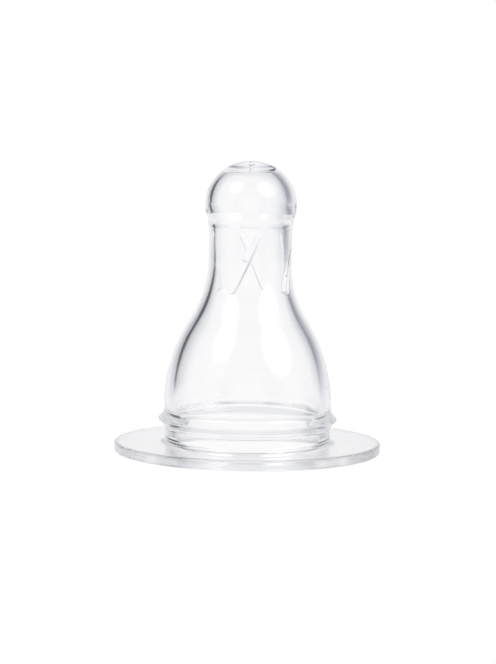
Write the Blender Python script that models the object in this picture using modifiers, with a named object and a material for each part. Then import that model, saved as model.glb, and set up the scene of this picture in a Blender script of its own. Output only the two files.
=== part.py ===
"""A clear silicone bottle teat: one moulding, turned about +Z, standing on its flange.

The moulding is a ball tip with a feed hole, a straight neck with four slanted ribs inside,
a bell, a retaining bead, the groove that the bottle's screw collar snaps into, and a flange
that lies on the bottle's rim. Lengths are in metres and the underside of the flange is z = 0.
"""

import math

import bmesh
import bpy

MM = 0.001

# Flange, groove and bead: the part that the bottle and its collar hold
FLANGE_RADIUS = 18.5 * MM
FLANGE_THICKNESS = 1.4 * MM
FLANGE_EDGE_ROUND = 0.3 * MM
GROOVE_RADIUS = 11.5 * MM
GROOVE_FILLET = 0.8 * MM
BEAD_RADIUS = 12.45 * MM
BEAD_HEIGHT = 4.54 * MM
BEAD_NOSE = 0.2 * MM
BORE_RADIUS = 9.9 * MM
BORE_CHAMFER = 0.25 * MM
LEDGE_BOTTOM = 0.9 * MM
LEDGE_TOP = 1.3 * MM

# Bell: each wall is two tangent arcs, one bulging over the bell and one hollow into the neck
BELL_BASE = 6.57 * MM
BELL_RADIUS = 11.62 * MM
BELL_BULGE = 21.5 * MM
BELL_HOLLOW = 15.5 * MM
BELL_INNER_BASE = 7.3 * MM
BELL_INNER_RADIUS = 10.16 * MM
BELL_INNER_BULGE = 19.0 * MM
BELL_INNER_HOLLOW = 16.0 * MM

# Neck, the narrow band above it, and the ball tip
NECK_RADIUS = 5.73 * MM
NECK_INNER_RADIUS = 4.79 * MM
NECK_TOP = 30.95 * MM
BAND_RADIUS = 5.88 * MM
BAND_BOTTOM = 31.3 * MM
BALL_CENTRE = 34.3 * MM
BALL_RADIUS = 6.32 * MM
BALL_RISE = 5.95 * MM
BALL_DROP = 6.2 * MM
BALL_INNER_RADIUS = 5.25 * MM
BALL_INNER_RISE = 5.2 * MM
BALL_INNER_WAIST_RADIUS = 5.22 * MM
BALL_INNER_WAIST = 33.05 * MM
BALL_INNER_FOOT = 31.55 * MM
TIP_CEILING = 38.45 * MM
FEED_HOLE_RADIUS = 0.22 * MM
FEED_HOLE_MOUTH = 0.4 * MM
FEED_HOLE_MOUTH_DEPTH = 0.15 * MM

# Ribs inside the neck, which keep it from closing flat when it is sucked
RIB_COUNT = 4
RIB_FOOT_HEIGHT = 21.8 * MM
RIB_TOP_HEIGHT = 30.3 * MM
RIB_FOOT_ANGLE = math.radians(-113.0)
RIB_TURN = math.radians(42.0)
RIB_RISE = 0.3 * MM
RIB_POINTS = 9
RIB_SIDE_RESOLUTION = 2

TURN_STEPS = 48
MERGE_DISTANCE = 0.00001


def arc(centre_r, centre_z, radius_r, radius_z, start, end, pieces):
    """Points of a circle or ellipse arc in the (r, z) half plane; angles in degrees from +r."""
    points = []
    for i in range(pieces + 1):
        angle = math.radians(start + (end - start) * i / pieces)
        points.append((centre_r + radius_r * math.cos(angle), centre_z + radius_z * math.sin(angle)))
    return points


def bell_wall(neck_radius, bell_radius, base, bulge, hollow, pieces):
    """One wall from the neck down to the bell's base, as a hollow arc and a tangent bulging arc."""
    turn = math.degrees(math.acos(1.0 - (bell_radius - neck_radius) / (bulge + hollow)))
    neck_end = base + (bulge + hollow) * math.sin(math.radians(turn))
    upper = arc(neck_radius + hollow, neck_end, hollow, hollow, 180.0, 180.0 + turn, pieces // 2)
    lower = arc(bell_radius - bulge, base, bulge, bulge, turn, 0.0, pieces)
    return upper[:-1] + lower


def outer_outline():
    """Outer side of the moulding, from the feed hole down to the edge of the flange's underside."""
    top = BALL_CENTRE + BALL_RISE
    mouth_angle = math.degrees(math.acos(FEED_HOLE_MOUTH / BALL_RADIUS))
    band_angle = -math.degrees(math.acos(BAND_RADIUS / BALL_RADIUS))
    bead_reach = BEAD_RADIUS - BELL_RADIUS
    groove_reach = BEAD_RADIUS - GROOVE_RADIUS
    round_ = FLANGE_EDGE_ROUND
    points = [(FEED_HOLE_RADIUS, top - FEED_HOLE_MOUTH_DEPTH)]
    points += arc(0.0, BALL_CENTRE, BALL_RADIUS, BALL_RISE, mouth_angle, 0.0, 10)
    points += arc(0.0, BALL_CENTRE, BALL_RADIUS, BALL_DROP, 0.0, band_angle, 3)[1:]
    points += [(BAND_RADIUS, BAND_BOTTOM), (NECK_RADIUS, NECK_TOP)]
    points += bell_wall(NECK_RADIUS, BELL_RADIUS, BELL_BASE, BELL_BULGE, BELL_HOLLOW, 8)
    points += [(BELL_RADIUS, BEAD_HEIGHT + BEAD_NOSE + bead_reach)]
    points += [(BEAD_RADIUS, BEAD_HEIGHT + BEAD_NOSE), (BEAD_RADIUS, BEAD_HEIGHT - BEAD_NOSE)]
    points += [(GROOVE_RADIUS, BEAD_HEIGHT - BEAD_NOSE - groove_reach)]
    points += arc(GROOVE_RADIUS + GROOVE_FILLET, FLANGE_THICKNESS + GROOVE_FILLET,
                  GROOVE_FILLET, GROOVE_FILLET, 180.0, 270.0, 4)
    points += arc(FLANGE_RADIUS - round_, FLANGE_THICKNESS - round_, round_, round_, 90.0, 0.0, 3)
    points += arc(FLANGE_RADIUS - round_, round_, round_, round_, 0.0, -90.0, 3)
    return points


def inner_radius(height):
    """Radius of the inner wall of the neck and bell at a height."""
    turn = math.acos(1.0 - (BELL_INNER_RADIUS - NECK_INNER_RADIUS)
                     / (BELL_INNER_BULGE + BELL_INNER_HOLLOW))
    bend = BELL_INNER_BASE + BELL_INNER_BULGE * math.sin(turn)
    neck_end = bend + BELL_INNER_HOLLOW * math.sin(turn)
    if height >= neck_end:
        return NECK_INNER_RADIUS
    if height >= bend:
        drop = neck_end - height
        return NECK_INNER_RADIUS + BELL_INNER_HOLLOW - math.sqrt(BELL_INNER_HOLLOW ** 2 - drop ** 2)
    rise = height - BELL_INNER_BASE
    return BELL_INNER_RADIUS - BELL_INNER_BULGE + math.sqrt(BELL_INNER_BULGE ** 2 - rise ** 2)


def inner_outline():
    """Inner side of the moulding, from the mouth of the bore up to the feed hole."""
    ceiling_angle = math.degrees(math.asin((TIP_CEILING - BALL_CENTRE) / BALL_INNER_RISE))
    wall = bell_wall(NECK_INNER_RADIUS, BELL_INNER_RADIUS, BELL_INNER_BASE,
                     BELL_INNER_BULGE, BELL_INNER_HOLLOW, 8)
    points = [(BORE_RADIUS + BORE_CHAMFER, 0.0), (BORE_RADIUS, BORE_CHAMFER)]
    points += [(BORE_RADIUS, LEDGE_BOTTOM), (BELL_INNER_RADIUS, LEDGE_TOP)]
    points += wall[::-1]
    points += [(NECK_INNER_RADIUS, BALL_INNER_FOOT), (BALL_INNER_WAIST_RADIUS, BALL_INNER_WAIST)]
    points += arc(0.0, BALL_CENTRE, BALL_INNER_RADIUS, BALL_INNER_RISE, 0.0, ceiling_angle, 6)
    points += [(FEED_HOLE_RADIUS, TIP_CEILING)]
    return points


def clear_scene():
    for item in list(bpy.data.objects):
        bpy.data.objects.remove(item, do_unlink=True)


def new_collection(name):
    collection = bpy.data.collections.new(name)
    bpy.context.scene.collection.children.link(collection)
    return collection


def silicone():
    """Clear, faintly cool silicone rubber."""
    material = bpy.data.materials.new("clear_silicone")
    material.use_nodes = True
    shader = material.node_tree.nodes["Principled BSDF"]
    shader.inputs["Base Color"].default_value = (0.90, 0.91, 0.94, 1.0)
    shader.inputs["Roughness"].default_value = 0.06
    shader.inputs["Metallic"].default_value = 0.0
    shader.inputs["IOR"].default_value = 1.41
    shader.inputs["Transmission Weight"].default_value = 1.0
    return material


def turned(name, outline, collection):
    """A closed outline in the (r, z) half plane, turned once about +Z."""
    mesh = bpy.data.meshes.new(name)
    edges = [(i, (i + 1) % len(outline)) for i in range(len(outline))]
    mesh.from_pydata([(r, 0.0, z) for r, z in outline], edges, [])
    item = bpy.data.objects.new(name, mesh)
    collection.objects.link(item)
    screw = item.modifiers.new("turn", "SCREW")
    screw.axis = "Z"
    screw.angle = math.tau
    screw.steps = TURN_STEPS
    screw.render_steps = TURN_STEPS
    screw.use_merge_vertices = True
    screw.merge_threshold = MERGE_DISTANCE
    screw.use_smooth_shade = True
    return item


def rib_curve(index, collection):
    """One rib as a rod that leans round the neck and sinks half into its wall."""
    curve = bpy.data.curves.new("rib_%d" % index, "CURVE")
    curve.dimensions = "3D"
    curve.bevel_depth = RIB_RISE
    curve.bevel_resolution = RIB_SIDE_RESOLUTION
    curve.use_fill_caps = True
    spline = curve.splines.new("POLY")
    spline.points.add(RIB_POINTS - 1)
    for i, point in enumerate(spline.points):
        share = i / (RIB_POINTS - 1)
        height = RIB_FOOT_HEIGHT + (RIB_TOP_HEIGHT - RIB_FOOT_HEIGHT) * share
        angle = RIB_FOOT_ANGLE + RIB_TURN * share + math.tau * index / RIB_COUNT
        wall = inner_radius(height)
        point.co = (wall * math.cos(angle), wall * math.sin(angle), height, 1.0)
    item = bpy.data.objects.new("rib_%d" % index, curve)
    collection.objects.link(item)
    return item


def to_mesh(item, collection):
    """The curve as a mesh object with its caps welded; the curve is removed."""
    bpy.context.view_layer.update()
    shape = item.evaluated_get(bpy.context.evaluated_depsgraph_get())
    mesh = bpy.data.meshes.new_from_object(shape)
    name, place = item.name, item.matrix_world.copy()
    bpy.data.objects.remove(item, do_unlink=True)
    work = bmesh.new()
    work.from_mesh(mesh)
    bmesh.ops.remove_doubles(work, verts=work.verts, dist=MERGE_DISTANCE)
    bmesh.ops.recalc_face_normals(work, faces=work.faces)
    work.to_mesh(mesh)
    work.free()
    solid = bpy.data.objects.new(name, mesh)
    solid.matrix_world = place
    solid.hide_render = True
    solid.display_type = "WIRE"
    collection.objects.link(solid)
    return solid


def build():
    clear_scene()
    parts = new_collection("bottle_teat")
    tools = new_collection("teat_tools")
    teat = turned("teat", outer_outline() + inner_outline(), parts)
    teat.data.materials.append(silicone())
    for index in range(RIB_COUNT):
        rib = to_mesh(rib_curve(index, tools), tools)
        join = teat.modifiers.new("join_%s" % rib.name, "BOOLEAN")
        join.operation = "UNION"
        join.solver = "EXACT"
        join.object = rib


build()
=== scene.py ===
"""Looks of the clear silicone bottle teat: its fine surface, its material, the stage and the camera."""

import math

import bmesh
import bpy
import numpy as np
from mathutils import Matrix, Vector

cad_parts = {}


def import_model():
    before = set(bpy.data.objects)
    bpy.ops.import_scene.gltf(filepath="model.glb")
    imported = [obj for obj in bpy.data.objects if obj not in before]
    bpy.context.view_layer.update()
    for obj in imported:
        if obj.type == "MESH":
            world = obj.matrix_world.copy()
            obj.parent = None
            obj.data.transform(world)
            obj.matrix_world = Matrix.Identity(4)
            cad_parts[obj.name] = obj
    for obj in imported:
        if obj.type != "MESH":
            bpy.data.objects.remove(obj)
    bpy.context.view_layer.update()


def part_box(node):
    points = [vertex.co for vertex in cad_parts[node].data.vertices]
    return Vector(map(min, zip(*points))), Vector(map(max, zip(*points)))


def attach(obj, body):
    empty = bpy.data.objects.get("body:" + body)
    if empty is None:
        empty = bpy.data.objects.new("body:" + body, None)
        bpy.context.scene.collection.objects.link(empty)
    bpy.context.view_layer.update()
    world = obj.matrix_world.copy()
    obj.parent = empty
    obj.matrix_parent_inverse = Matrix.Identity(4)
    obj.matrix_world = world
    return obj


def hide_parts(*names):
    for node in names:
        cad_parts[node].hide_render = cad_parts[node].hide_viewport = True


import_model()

TEAT_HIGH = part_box("teat")[1]
MM = 0.001

# The moulding, as the CAD model has it; heights are above the underside of the flange
TOP = TEAT_HIGH.z
FLANGE_RADIUS = TEAT_HIGH.x
FLANGE_THICKNESS = 1.4 * MM
FLANGE_EDGE_ROUND = 0.3 * MM
GROOVE_RADIUS = 11.5 * MM
GROOVE_FILLET = 0.8 * MM
BEAD_RADIUS = 12.45 * MM
BEAD_HEIGHT = 4.54 * MM
BORE_RADIUS = 9.9 * MM
LEDGE_BOTTOM = 0.9 * MM
LEDGE_TOP = 1.3 * MM
BELL_BASE = 6.57 * MM
BELL_RADIUS = 11.62 * MM
BELL_BULGE = 21.5 * MM
BELL_HOLLOW = 15.5 * MM
BELL_INNER_BASE = 7.3 * MM
BELL_INNER_RADIUS = 10.16 * MM
BELL_INNER_BULGE = 19.0 * MM
BELL_INNER_HOLLOW = 16.0 * MM
NECK_RADIUS = 5.73 * MM
NECK_INNER_RADIUS = 4.79 * MM
NECK_TOP = 30.95 * MM
BAND_RADIUS = 5.88 * MM
BAND_BOTTOM = 31.3 * MM
BALL_CENTRE = 34.3 * MM
BALL_RADIUS = 6.32 * MM
BALL_RISE = TOP - BALL_CENTRE
BALL_DROP = 6.2 * MM
BALL_INNER_RADIUS = 5.25 * MM
BALL_INNER_RISE = 5.2 * MM
BALL_INNER_WAIST_RADIUS = 5.22 * MM
BALL_INNER_WAIST = 33.05 * MM
BALL_INNER_FOOT = 31.55 * MM
TIP_CEILING = 38.45 * MM
FEED_HOLE_RADIUS = 0.22 * MM
FEED_HOLE_MOUTH = 0.4 * MM
FEED_HOLE_MOUTH_DEPTH = 0.15 * MM

# Radii of the fine roundings at its corners
BEAD_ROUND = 0.25 * MM
BEAD_FILLET = 1.4 * MM
BORE_ROUND = 0.25 * MM
LEDGE_ROUND = 0.3 * MM
BAND_ROUND = 0.25 * MM
BAND_TOP_ROUND = 1.2 * MM
BALL_FILLET = 0.8 * MM
CEILING_ROUND = 1.2 * MM

# Ribs inside the neck: each has a steep edge on one side and a rounded foot, and fades out on the other
RIB_COUNT = 4
RIB_FOOT = 21.55 * MM
RIB_TOP = 30.3 * MM
RIB_EDGE_HEIGHT = 22.4 * MM
RIB_EDGE_ANGLE = math.radians(-107.7)
RIB_LEAN = math.radians(38.5) / (7.6 * MM)
RIB_CORNER = 0.7 * MM
RIB_FOOT_SLOPE = 0.3
RIB_STEEP = 0.5 * MM
RIB_TOP_WIDTH = 1.0 * MM
RIB_FOOT_WIDTH = 2.0 * MM
RIB_RISE = 0.3 * MM
RIB_ENDING = 0.93      # share of its length above which a rib sinks back into the wall
RIB_OPEN_SIDE = 0.25   # share of the ribs' spacing that lies on the steep side of an edge

# Spacing of the points along the outlines, and round the axis
SEGMENTS = 288
CLEAR_OF_ROUND = 2.0   # radii between a rounded corner and the nearest points of its straight sides
TRIMMED = 4            # points at an arc's end that give way to the rounding of the corner there
NECK_RUN = 1.0 * MM
LEDGE_RUN = 2.0 * MM
GROOVE_GAP = 0.4 * MM
BELL_GAP = 0.8 * MM
HOLE_MARGIN = 0.3 * MM
CLOSE_BELOW_FOOT = 0.3 * MM
CLOSE_ABOVE_FOOT = 1.2 * MM

# Unevenness of the walls: each wave's turns round the axis, length along it and phase
WAVE_HEIGHT = 0.005 * MM
WAVES = ((3, 17.0 * MM, 0.4), (5, -11.0 * MM, 2.1), (8, 7.0 * MM, 4.0))

# The walls start at this height, and end at this radius round the feed hole
WALLS_FROM = 6.0 * MM
WALLS_OUTSIDE = 2.0 * MM

# The soft moulding leans, its bell a little one way and its tip the other, and its core sits off centre
LEAN_BELL = -0.06 * MM
LEAN_BELL_FULL = 12.0 * MM
LEAN_TIP = 0.12 * MM
LEAN_TIP_FROM = 16.0 * MM
CORE_SHIFT = -0.2 * MM
CORE_SHIFT_FROM = 26.0 * MM

# Surface of the silicone
SILICONE_IOR = 1.41
WALL_ROUGHNESS = 0.02
FLANGE_ROUGHNESS = 0.1
RIM_ROUGHNESS = 0.2
RIM_FROM = 17.6 * MM
RIM_TO = 18.2 * MM
MOTTLE_ROUGHNESS = 0.02
MOTTLE_SIZE = 2.5 * MM
MOTTLE_DETAIL = 4.0
MOTTLE_RANGE = (0.3, 0.7)
CLOUD_SIZE = 6.0 * MM
CLOUD_DETAIL = 2.0
CLEAR_COLOUR = (0.999, 0.999, 1.0)
CLOUD_COLOUR = (0.996, 0.997, 1.0)
SKIN_SIZE = 1.2 * MM
SKIN_DETAIL = 2.0
SKIN_DEPTH = 0.0008 * MM

# The studio round the teat, where 1 is white. Azimuths run from 0 straight behind the teat to 180
# straight in front of it, on both sides, and elevations from 0 at the horizon, all in degrees.
# A pair is where a change begins and where it ends.
DEGREES = 180.0 / math.pi
MIDDLE = (-6.0, 6.0)                 # left gives way to right, with azimuths negative on the left
BACKDROP_LEVEL = 0.98
BACKDROP_MOST_TAKEN = 0.88           # the most that its shade and its cards take from the backdrop
SHADE_AZIMUTHS = (0.0, 38.0)
SHADE_ELEVATIONS = (-10.0, 8.0)
SHADE_AT_GROUND = 0.25
SHADE_LEFT = 0.48
SHADE_RIGHT = 0.56
CENTRE_SHADE = 0.13
CENTRE_SHADE_ELEVATIONS = (2.0, 16.0)
CARD_FEET = (-8.0, -2.0)
CARD_TOPS = (14.0, 30.0)
CARD_ABOVE_TOP = 0.5
CARD_LEFT = 0.56
CARD_RIGHT = 0.08
CARD_EDGE_LOW = 36.0
CARD_EDGE_HIGH = 29.0
CARD_EDGE_ELEVATIONS = (-1.0, 9.0)
CARD_EDGE_WIDTH = 10.5
SIDE_LEFT = 0.80
SIDE_RIGHT = 0.92
SIDE_EDGE_LOW = 47.0
SIDE_EDGE_LEFT = 70.0
SIDE_EDGE_RIGHT = 58.0
SIDE_EDGE_ELEVATIONS = (-6.0, 2.0)
SIDE_EDGE_WIDTH = 12.0
FRONT_AZIMUTHS = (110.0, 140.0)
FRONT_ELEVATIONS = (10.0, 28.0)
FRONT_LOW = 0.86
FRONT_HIGH = 0.5
FRONT_CARD = 0.3
FRONT_CARD_FROM = (118.0, 132.0)
FRONT_CARD_TO = (148.0, 162.0)
CEILING_LEVEL = 0.35
CEILING_ELEVATIONS = (42.0, 58.0)
GROUND_LEVEL = 0.99
GROUND_AZIMUTHS = (70.0, 90.0)
GROUND_ELEVATIONS = (-12.0, -5.0)
DARK_TINT = (0.90, 0.93, 1.10)
WHITE = (1.0, 1.0, 1.0)

# The two softboxes: angle from straight in front, elevation and radius, in degrees, and brightness
SOFTBOXES = ((-50.0, 43.0, 17.0, 2.1), (55.0, 37.5, 21.5, 2.5))
SOFTBOX_EDGE = 4.0

# Floor
FLOOR_REACH = 3.0
FLOOR_DROP = 0.02 * MM

# Camera: sensor and lens in millimetres, pitch and roll in radians
SENSOR_WIDTH = 36.0
CAMERA_LENS = 84.4
CAMERA_DISTANCE = 215.9 * MM
CAMERA_HEIGHT = 33.14 * MM
CAMERA_SIDE = -0.088 * MM
CAMERA_PITCH = 0.0767
CAMERA_ROLL = 0.0128
CLIP_NEAR = 0.01
CLIP_FAR = 50.0

# Light passes many clear surfaces on its way through the teat
LIGHT_BOUNCES = 64


def smoothstep(low, high, value):
    """A smooth rise from 0 at low to 1 at high."""
    share = np.clip((value - low) / (high - low), 0.0, 1.0)
    return share * share * (3.0 - 2.0 * share)


def arc(centre_r, centre_z, radius_r, radius_z, start, end, pieces):
    """Points of a circle or ellipse arc in the (r, z) half plane; angles in degrees from +r."""
    angles = np.radians(np.linspace(start, end, pieces + 1))
    return [(centre_r + radius_r * math.cos(a), centre_z + radius_z * math.sin(a)) for a in angles]


def straight(first, last, pieces):
    """Evenly spaced points of a straight line in the (r, z) half plane."""
    steps = np.linspace(0.0, 1.0, pieces + 1)
    return [(first[0] + (last[0] - first[0]) * s, first[1] + (last[1] - first[1]) * s) for s in steps]


def bell_wall(neck_radius, bell_radius, base, bulge, hollow, pieces):
    """One wall from the neck down to the bell's base: a hollow arc and a tangent bulging arc."""
    turn = math.degrees(math.acos(1.0 - (bell_radius - neck_radius) / (bulge + hollow)))
    neck_end = base + (bulge + hollow) * math.sin(math.radians(turn))
    upper = arc(neck_radius + hollow, neck_end, hollow, hollow, 180.0, 180.0 + turn, pieces)
    lower = arc(bell_radius - bulge, base, bulge, bulge, turn, 0.0, pieces)
    return upper[:-1] + lower


def rounded(corners, pieces):
    """A chain of (r, z, radius) corners with each corner rounded by an arc of that radius."""
    points = []
    for i, (r, z, radius) in enumerate(corners):
        here = Vector((r, z))
        if radius <= 0.0 or i in (0, len(corners) - 1):
            points.append((r, z))
            continue
        before = (Vector(corners[i - 1][:2]) - here).normalized()
        after = (Vector(corners[i + 1][:2]) - here).normalized()
        half = math.acos(max(-1.0, min(1.0, before.dot(after)))) / 2.0
        reach = radius / math.tan(half)
        centre = here + (before + after).normalized() * (radius / math.sin(half))
        start = here + before * reach - centre
        end = here + after * reach - centre
        swing = start.angle_signed(end)
        for k in range(pieces + 1):
            turn = Matrix.Rotation(-swing * k / pieces, 2)
            points.append(tuple(centre + turn @ start))
    return points


def outer_outline():
    """Outer side, from the feed hole down to the edge of the flange's underside."""
    mouth_angle = math.degrees(math.acos(FEED_HOLE_MOUTH / BALL_RADIUS))
    band_angle = -math.degrees(math.acos(BAND_RADIUS / BALL_RADIUS))
    nose = BEAD_RADIUS + BEAD_ROUND * (math.sqrt(2.0) - 1.0)
    edge = FLANGE_EDGE_ROUND
    clear = CLEAR_OF_ROUND * edge
    points = [(FEED_HOLE_RADIUS, TOP - FEED_HOLE_MOUTH_DEPTH)]
    points += arc(0.0, BALL_CENTRE, BALL_RADIUS, BALL_RISE, mouth_angle, 0.0, pieces=40)
    ball = arc(0.0, BALL_CENTRE, BALL_RADIUS, BALL_DROP, 0.0, band_angle, pieces=14)
    points += ball[1:-TRIMMED]
    points += rounded([
        (*ball[-TRIMMED - 1], 0.0),
        (*ball[-1], BAND_TOP_ROUND),
        (BAND_RADIUS, BAND_BOTTOM, BAND_ROUND),
        (NECK_RADIUS, NECK_TOP, BAND_ROUND),
        (NECK_RADIUS, NECK_TOP - NECK_RUN, 0.0),
    ], pieces=4)[1:]
    points += bell_wall(NECK_RADIUS, BELL_RADIUS, BELL_BASE, BELL_BULGE, BELL_HOLLOW, pieces=18)
    points += rounded([
        (BELL_RADIUS, BELL_BASE, 0.0),
        (BELL_RADIUS, BEAD_HEIGHT + nose - BELL_RADIUS, BEAD_FILLET),
        (nose, BEAD_HEIGHT, BEAD_ROUND),
        (GROOVE_RADIUS, BEAD_HEIGHT - nose + GROOVE_RADIUS, BEAD_FILLET),
        (GROOVE_RADIUS, FLANGE_THICKNESS, GROOVE_FILLET),
        (FLANGE_RADIUS, FLANGE_THICKNESS, 0.0),
    ], pieces=7)[1:-1]
    points += straight((points[-1][0] + GROOVE_GAP, FLANGE_THICKNESS),
                       (FLANGE_RADIUS - clear, FLANGE_THICKNESS), pieces=8)
    points += arc(FLANGE_RADIUS - edge, FLANGE_THICKNESS - edge, edge, edge, 90.0, 0.0, pieces=5)
    points += straight((FLANGE_RADIUS, FLANGE_THICKNESS - clear), (FLANGE_RADIUS, clear), pieces=3)
    points += arc(FLANGE_RADIUS - edge, edge, edge, edge, 0.0, -90.0, pieces=5)
    return points


def inner_radius(height):
    """Radius of the inner wall of the neck and bell at a height."""
    turn = math.acos(1.0 - (BELL_INNER_RADIUS - NECK_INNER_RADIUS)
                     / (BELL_INNER_BULGE + BELL_INNER_HOLLOW))
    bend = BELL_INNER_BASE + BELL_INNER_BULGE * math.sin(turn)
    neck_end = bend + BELL_INNER_HOLLOW * math.sin(turn)
    if height >= neck_end:
        return NECK_INNER_RADIUS
    if height >= bend:
        drop = neck_end - height
        return NECK_INNER_RADIUS + BELL_INNER_HOLLOW - math.sqrt(BELL_INNER_HOLLOW ** 2 - drop ** 2)
    rise = height - BELL_INNER_BASE
    return BELL_INNER_RADIUS - BELL_INNER_BULGE + math.sqrt(BELL_INNER_BULGE ** 2 - rise ** 2)


def inner_outline():
    """Inner side, from the mouth of the bore up to the feed hole, with close points at the ribs' feet."""
    ceiling_angle = math.degrees(math.asin((TIP_CEILING - BALL_CENTRE) / BALL_INNER_RISE))
    mouth = (BORE_RADIUS + CLEAR_OF_ROUND * BORE_ROUND, 0.0)
    points = straight((FLANGE_RADIUS - CLEAR_OF_ROUND * FLANGE_EDGE_ROUND, 0.0), mouth, pieces=8)
    points += rounded([
        (*mouth, 0.0),
        (BORE_RADIUS, 0.0, BORE_ROUND),
        (BORE_RADIUS, LEDGE_BOTTOM, BORE_ROUND),
        (BELL_INNER_RADIUS, LEDGE_TOP, LEDGE_ROUND),
        (BELL_INNER_RADIUS, LEDGE_TOP + LEDGE_RUN, 0.0),
    ], pieces=8)[1:]
    points += straight(points[-1], (BELL_INNER_RADIUS, BELL_INNER_BASE - BELL_GAP), pieces=6)[1:]
    close_from = RIB_FOOT - CLOSE_BELOW_FOOT
    close_to = RIB_FOOT + CLOSE_ABOVE_FOOT
    stretches = ((BELL_INNER_BASE, close_from, 23), (close_from, close_to, 21), (close_to, NECK_TOP, 33))
    for low, high, rows in stretches:
        points += [(inner_radius(height), height) for height in np.linspace(low, high, rows + 1)[:-1]]
    points += rounded([
        (NECK_INNER_RADIUS, NECK_TOP, 0.0),
        (NECK_INNER_RADIUS, BALL_INNER_FOOT, BALL_FILLET),
        (BALL_INNER_WAIST_RADIUS, BALL_INNER_WAIST, BALL_FILLET),
        (BALL_INNER_RADIUS, BALL_CENTRE, 0.0),
    ], pieces=6)
    dome = arc(0.0, BALL_CENTRE, BALL_INNER_RADIUS, BALL_INNER_RISE, 0.0, ceiling_angle, pieces=26)
    points += dome[1:-TRIMMED]
    points += rounded([
        (*dome[-TRIMMED - 1], 0.0),
        (*dome[-1], CEILING_ROUND),
        (FEED_HOLE_RADIUS + HOLE_MARGIN, TIP_CEILING, 0.0),
    ], pieces=8)[1:]
    points += straight((FEED_HOLE_RADIUS, TIP_CEILING),
                       (FEED_HOLE_RADIUS, TOP - FEED_HOLE_MOUTH_DEPTH), pieces=4)[:-1]
    return points


def rib_turn(height):
    """How far round the inner points turn at a height to follow the ribs; above and below they turn back."""
    turn = RIB_LEAN * (np.clip(height, RIB_FOOT, RIB_TOP) - RIB_EDGE_HEIGHT)
    above = smoothstep(NECK_TOP, TIP_CEILING, height)
    below = 1.0 - smoothstep(LEDGE_TOP, RIB_FOOT, height)
    return turn * (1.0 - above) * (1.0 - below)


def rib_height(angle, height):
    """How far the ribs stand in from the inner wall, at each angle and height."""
    share = np.clip((height - RIB_FOOT) / (RIB_TOP - RIB_FOOT), 0.0, 1.0)
    wall = np.vectorize(inner_radius)(height)
    tall = RIB_RISE * (1.0 - smoothstep(RIB_ENDING, 1.0, share))
    spread = math.tau / RIB_COUNT
    edge = RIB_EDGE_ANGLE + RIB_LEAN * (height - RIB_EDGE_HEIGHT)
    turn = (edge - angle + RIB_OPEN_SIDE * spread) % spread - RIB_OPEN_SIDE * spread
    aside = turn * wall
    up = height - RIB_FOOT - RIB_FOOT_SLOPE * aside
    width = RIB_FOOT_WIDTH + (RIB_TOP_WIDTH - RIB_FOOT_WIDTH) * share
    fade = 1.0 - np.clip(aside / width, 0.0, 1.0) ** 2
    inward_x, inward_z = RIB_CORNER - aside, RIB_CORNER - up
    outside = (np.hypot(np.maximum(inward_x, 0.0), np.maximum(inward_z, 0.0))
               + np.minimum(np.maximum(inward_x, inward_z), 0.0) - RIB_CORNER)
    return tall * fade * smoothstep(0.0, RIB_STEEP, -outside)


def waviness(angle, height):
    """The slow unevenness that a soft moulding keeps from its cooling."""
    waves = np.zeros_like(angle)
    for around, along, phase in WAVES:
        waves += np.sin(around * angle + math.tau * height / along + phase)
    return WAVE_HEIGHT * waves / len(WAVES)


def lean(height):
    """Sideways drift of the moulding at a height."""
    bell = LEAN_BELL * smoothstep(BEAD_HEIGHT, LEAN_BELL_FULL, height)
    return bell + (LEAN_TIP - LEAN_BELL) * smoothstep(LEAN_TIP_FROM, BALL_CENTRE, height)


def turned_mesh(name, outer, inner):
    """The closed outline of both sides turned about +Z, with the ribs raised from the inner wall."""
    rows, count = np.array(outer + inner), len(outer + inner)
    radius = np.repeat(rows[:, :1], SEGMENTS, axis=1)
    height = np.repeat(rows[:, 1:], SEGMENTS, axis=1)
    angle = np.repeat((np.arange(SEGMENTS) * math.tau / SEGMENTS)[None, :], count, axis=0)
    inside = np.arange(count) >= len(outer)
    angle[inside] += rib_turn(height[inside])
    ribbed = inside & (rows[:, 1] > RIB_FOOT) & (rows[:, 1] < RIB_TOP)
    radius[ribbed] -= rib_height(angle[ribbed], height[ribbed])
    off_middle = rows[:, 0] > WALLS_OUTSIDE
    walls = off_middle & (rows[:, 1] > WALLS_FROM)
    radius[walls] += waviness(angle[walls], height[walls])
    core = (inside & off_middle)[:, None]
    shift = CORE_SHIFT * smoothstep(CORE_SHIFT_FROM, BALL_CENTRE, height) * core
    across = radius * np.cos(angle) + lean(height) + shift
    verts = np.stack([across, radius * np.sin(angle), height], axis=-1).reshape(-1, 3)
    row, column = np.meshgrid(np.arange(count), np.arange(SEGMENTS), indexing="ij")
    below, beside = (row + 1) % count, (column + 1) % SEGMENTS
    faces = np.stack([row * SEGMENTS + column, below * SEGMENTS + column,
                      below * SEGMENTS + beside, row * SEGMENTS + beside], axis=-1).reshape(-1, 4)
    mesh = bpy.data.meshes.new(name)
    mesh.from_pydata(verts.tolist(), [], faces.tolist())
    mesh.update()
    mesh.shade_smooth()
    return mesh


def new_object(name, data):
    item = bpy.data.objects.new(name, data)
    bpy.context.scene.collection.objects.link(item)
    return item


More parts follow.
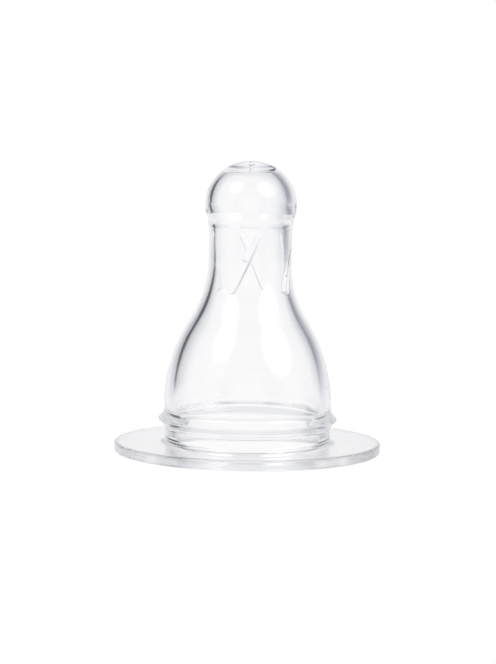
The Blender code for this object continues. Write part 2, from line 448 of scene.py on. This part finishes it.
class Graph:
    """Short ways to add nodes to a tree. A value is a number, a tuple or another node's output."""

    def __init__(self, tree):
        self.nodes = tree.nodes
        self.links = tree.links

    def feed(self, socket, value):
        if isinstance(value, bpy.types.NodeSocket):
            self.links.new(value, socket)
        else:
            socket.default_value = value

    def operate(self, kind, operation, values):
        node = self.nodes.new(kind)
        node.operation = operation
        for socket, value in zip(node.inputs, values):
            self.feed(socket, value)
        return node

    def calc(self, operation, *values):
        return self.operate("ShaderNodeMath", operation, values).outputs[0]

    def vector(self, operation, *values):
        return self.operate("ShaderNodeVectorMath", operation, values).outputs

    def clamped(self, operation, *values):
        node = self.operate("ShaderNodeMath", operation, values)
        node.use_clamp = True
        return node.outputs[0]

    def plus(self, first, second):
        return self.calc("ADD", first, second)

    def minus(self, first, second):
        return self.calc("SUBTRACT", first, second)

    def times(self, first, second):
        return self.calc("MULTIPLY", first, second)

    def blend(self, share, first, second):
        return self.plus(self.times(self.minus(1.0, share), first), self.times(share, second))

    def step(self, value, low, high, start=0.0, end=1.0):
        """A smooth change from start, at low and below, to end, at high and above."""
        node = self.nodes.new("ShaderNodeMapRange")
        node.interpolation_type = "SMOOTHSTEP"
        for name, limit in (("Value", value), ("From Min", low), ("From Max", high),
                            ("To Min", start), ("To Max", end)):
            self.feed(node.inputs[name], limit)
        return node.outputs["Result"]

    def mix_colour(self, share, first, second):
        node = self.nodes.new("ShaderNodeMix")
        node.data_type = "RGBA"
        self.feed(node.inputs["Factor"], share)
        self.feed(node.inputs["A"], (*first, 1.0))
        self.feed(node.inputs["B"], (*second, 1.0))
        return node.outputs["Result"]

    def noise(self, place, size, detail):
        node = self.nodes.new("ShaderNodeTexNoise")
        self.feed(node.inputs["Vector"], place)
        self.feed(node.inputs["Scale"], 1.0 / size)
        self.feed(node.inputs["Detail"], detail)
        return node.outputs["Fac"]

    def split(self, vector):
        node = self.nodes.new("ShaderNodeSeparateXYZ")
        self.feed(node.inputs[0], vector)
        return node.outputs


def silicone_roughness(graph, place):
    """Glossy walls, a finely matt flange and bead, a satin cut rim, and mottling over all of them."""
    across = graph.vector("MULTIPLY", place, (1.0, 1.0, 0.0))["Vector"]
    from_axis = graph.vector("LENGTH", across)["Value"]
    height = graph.split(place)["Z"]
    outside = graph.step(from_axis, BELL_INNER_RADIUS, GROOVE_RADIUS)
    low = graph.step(height, BEAD_HEIGHT, BELL_BASE, FLANGE_ROUGHNESS - WALL_ROUGHNESS, 0.0)
    rim = graph.step(from_axis, RIM_FROM, RIM_TO, 0.0, RIM_ROUGHNESS - FLANGE_ROUGHNESS)
    mottle = graph.step(graph.noise(place, MOTTLE_SIZE, MOTTLE_DETAIL), *MOTTLE_RANGE,
                        WALL_ROUGHNESS, WALL_ROUGHNESS + MOTTLE_ROUGHNESS)
    return graph.plus(graph.plus(graph.times(outside, low), rim), mottle)


def silicone():
    """Clear silicone, very faintly clouded, with a fine skin texture."""
    material = bpy.data.materials.new("clear_silicone")
    material.use_nodes = True
    graph = Graph(material.node_tree)
    place = graph.nodes.new("ShaderNodeTexCoord").outputs["Object"]
    skin = graph.nodes.new("ShaderNodeBump")
    skin.inputs["Strength"].default_value = 1.0
    skin.inputs["Distance"].default_value = SKIN_DEPTH
    graph.feed(skin.inputs["Height"], graph.noise(place, SKIN_SIZE, SKIN_DETAIL))
    clouds = graph.noise(place, CLOUD_SIZE, CLOUD_DETAIL)
    shader = graph.nodes["Principled BSDF"]
    shader.inputs["Transmission Weight"].default_value = 1.0
    shader.inputs["IOR"].default_value = SILICONE_IOR
    graph.feed(shader.inputs["Base Color"], graph.mix_colour(clouds, CLEAR_COLOUR, CLOUD_COLOUR))
    graph.feed(shader.inputs["Roughness"], silicone_roughness(graph, place))
    graph.feed(shader.inputs["Normal"], skin.outputs["Normal"])
    return material


def card_height(graph, elevation):
    """How fully the dark cards that stand round the teat show at an elevation."""
    feet = graph.step(elevation, *CARD_FEET)
    return graph.times(feet, graph.blend(graph.step(elevation, *CARD_TOPS), 1.0, CARD_ABOVE_TOP))


def backdrop(graph, away, elevation, right, cards):
    """The backdrop behind the teat: a shade that deepens to its sides, and a sharp card at each side."""
    rising = graph.plus(SHADE_AT_GROUND, graph.times(1.0 - SHADE_AT_GROUND,
                                                     graph.step(elevation, *SHADE_ELEVATIONS)))
    wide = graph.step(away, *SHADE_AZIMUTHS)
    edge = graph.blend(graph.step(elevation, *CARD_EDGE_ELEVATIONS), CARD_EDGE_LOW, CARD_EDGE_HIGH)
    sharp = graph.times(graph.step(away, edge, graph.plus(edge, CARD_EDGE_WIDTH)), cards)
    shade = graph.times(rising, graph.times(wide, graph.blend(right, SHADE_LEFT, SHADE_RIGHT)))
    card = graph.times(sharp, graph.blend(right, CARD_LEFT, CARD_RIGHT))
    high = graph.step(elevation, *CENTRE_SHADE_ELEVATIONS)
    centre = graph.times(CENTRE_SHADE, graph.clamped("SUBTRACT", high, wide))
    dark = graph.calc("MINIMUM", graph.plus(graph.plus(shade, card), centre), BACKDROP_MOST_TAKEN)
    return graph.minus(BACKDROP_LEVEL, dark)


def sides(graph, away, elevation, right, behind):
    """The backdrop, and beyond its edges the paler sides of the studio."""
    upper_edge = graph.blend(right, SIDE_EDGE_LEFT, SIDE_EDGE_RIGHT)
    edge = graph.blend(graph.step(elevation, *SIDE_EDGE_ELEVATIONS), SIDE_EDGE_LOW, upper_edge)
    beyond = graph.step(away, edge, graph.plus(edge, SIDE_EDGE_WIDTH))
    return graph.blend(beyond, behind, graph.blend(right, SIDE_LEFT, SIDE_RIGHT))


def front(graph, away, elevation, cards):
    """The front of the studio, with a soft grey card on either side of the camera."""
    card = graph.minus(graph.step(away, *FRONT_CARD_FROM), graph.step(away, *FRONT_CARD_TO))
    low = graph.minus(FRONT_LOW, graph.times(FRONT_CARD, graph.times(cards, card)))
    return graph.blend(graph.step(elevation, *FRONT_ELEVATIONS), low, FRONT_HIGH)


def softbox(graph, direction, turn, elevation, radius, brightness):
    """A round lamp face with a soft edge."""
    a, e = math.radians(turn), math.radians(elevation)
    centre = (math.sin(a) * math.cos(e), -math.cos(a) * math.cos(e), math.sin(e))
    facing = graph.vector("DOT_PRODUCT", direction, centre)["Value"]
    off_axis = graph.times(graph.calc("ARCCOSINE", facing), DEGREES)
    outside = graph.step(off_axis, radius - SOFTBOX_EDGE, radius + SOFTBOX_EDGE)
    return graph.times(graph.minus(1.0, outside), brightness)


def studio(graph):
    """Brightness of the studio in each direction from the teat."""
    direction = graph.nodes.new("ShaderNodeTexCoord").outputs["Generated"]
    x, y, z = graph.split(direction)
    azimuth = graph.times(graph.calc("ARCTAN2", x, y), DEGREES)
    elevation = graph.times(graph.calc("ARCSINE", z), DEGREES)
    away = graph.calc("ABSOLUTE", azimuth)
    right = graph.step(azimuth, *MIDDLE)
    cards = card_height(graph, elevation)
    behind = backdrop(graph, away, elevation, right, cards)
    beside = sides(graph, away, elevation, right, behind)
    walls = graph.blend(graph.step(away, *FRONT_AZIMUTHS), beside, front(graph, away, elevation, cards))
    above = graph.blend(graph.step(elevation, *CEILING_ELEVATIONS), walls, CEILING_LEVEL)
    ground = graph.blend(graph.step(away, *GROUND_AZIMUTHS), above, GROUND_LEVEL)
    room = graph.blend(graph.step(elevation, *GROUND_ELEVATIONS), ground, above)
    for box in SOFTBOXES:
        room = graph.calc("MAXIMUM", room, softbox(graph, direction, *box))
    return room


def world():
    """The studio lights the teat and shows in it, a little blue where it is dark; the camera sees white."""
    scene_world = bpy.data.worlds.new("studio")
    bpy.context.scene.world = scene_world
    scene_world.use_nodes = True
    graph = Graph(scene_world.node_tree)
    graph.nodes.clear()
    seen = graph.nodes.new("ShaderNodeLightPath").outputs["Is Camera Ray"]
    strength = graph.blend(seen, studio(graph), 1.0)
    whiteness = graph.clamped("MULTIPLY", strength, 1.0)
    background = graph.nodes.new("ShaderNodeBackground")
    graph.feed(background.inputs["Color"], graph.mix_colour(whiteness, DARK_TINT, WHITE))
    graph.feed(background.inputs["Strength"], strength)
    output = graph.nodes.new("ShaderNodeOutputWorld")
    graph.feed(output.inputs["Surface"], background.outputs[0])


def floor():
    """A white floor just under the teat, which only the camera sees."""
    mesh = bpy.data.meshes.new("floor")
    work = bmesh.new()
    bmesh.ops.create_grid(work, x_segments=1, y_segments=1, size=FLOOR_REACH)
    work.to_mesh(mesh)
    work.free()
    item = new_object("floor", mesh)
    item.location.z = -FLOOR_DROP
    material = bpy.data.materials.new("white_floor")
    material.use_nodes = True
    graph = Graph(material.node_tree)
    graph.nodes.clear()
    glow = graph.nodes.new("ShaderNodeEmission")
    output = graph.nodes.new("ShaderNodeOutputMaterial")
    graph.feed(output.inputs["Surface"], glow.outputs[0])
    mesh.materials.append(material)
    item.visible_transmission = False
    item.visible_glossy = False
    item.visible_diffuse = False
    item.visible_shadow = False


def camera():
    """The camera straight in front of the teat, pitched down and rolled a little."""
    data = bpy.data.cameras.new("camera")
    data.sensor_width = SENSOR_WIDTH
    data.lens = CAMERA_LENS
    data.clip_start = CLIP_NEAR
    data.clip_end = CLIP_FAR
    item = new_object("camera", data)
    item.location = (CAMERA_SIDE, -CAMERA_DISTANCE, CAMERA_HEIGHT)
    tilt = Matrix.Rotation(math.radians(90.0) - CAMERA_PITCH, 4, "X")
    roll = Matrix.Rotation(CAMERA_ROLL, 4, "Z")
    item.rotation_mode = "QUATERNION"
    item.rotation_quaternion = (tilt @ roll).to_quaternion()
    bpy.context.scene.camera = item


def main():
    teat = new_object("teat_moulding", turned_mesh("teat_moulding", outer_outline(), inner_outline()))
    teat.data.materials.append(silicone())
    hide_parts("teat")
    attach(teat, "root")
    world()
    floor()
    camera()
    scene = bpy.context.scene
    scene.view_settings.view_transform = "Standard"
    scene.cycles.max_bounces = LIGHT_BOUNCES
    scene.cycles.glossy_bounces = LIGHT_BOUNCES
    scene.cycles.transmission_bounces = LIGHT_BOUNCES


main()
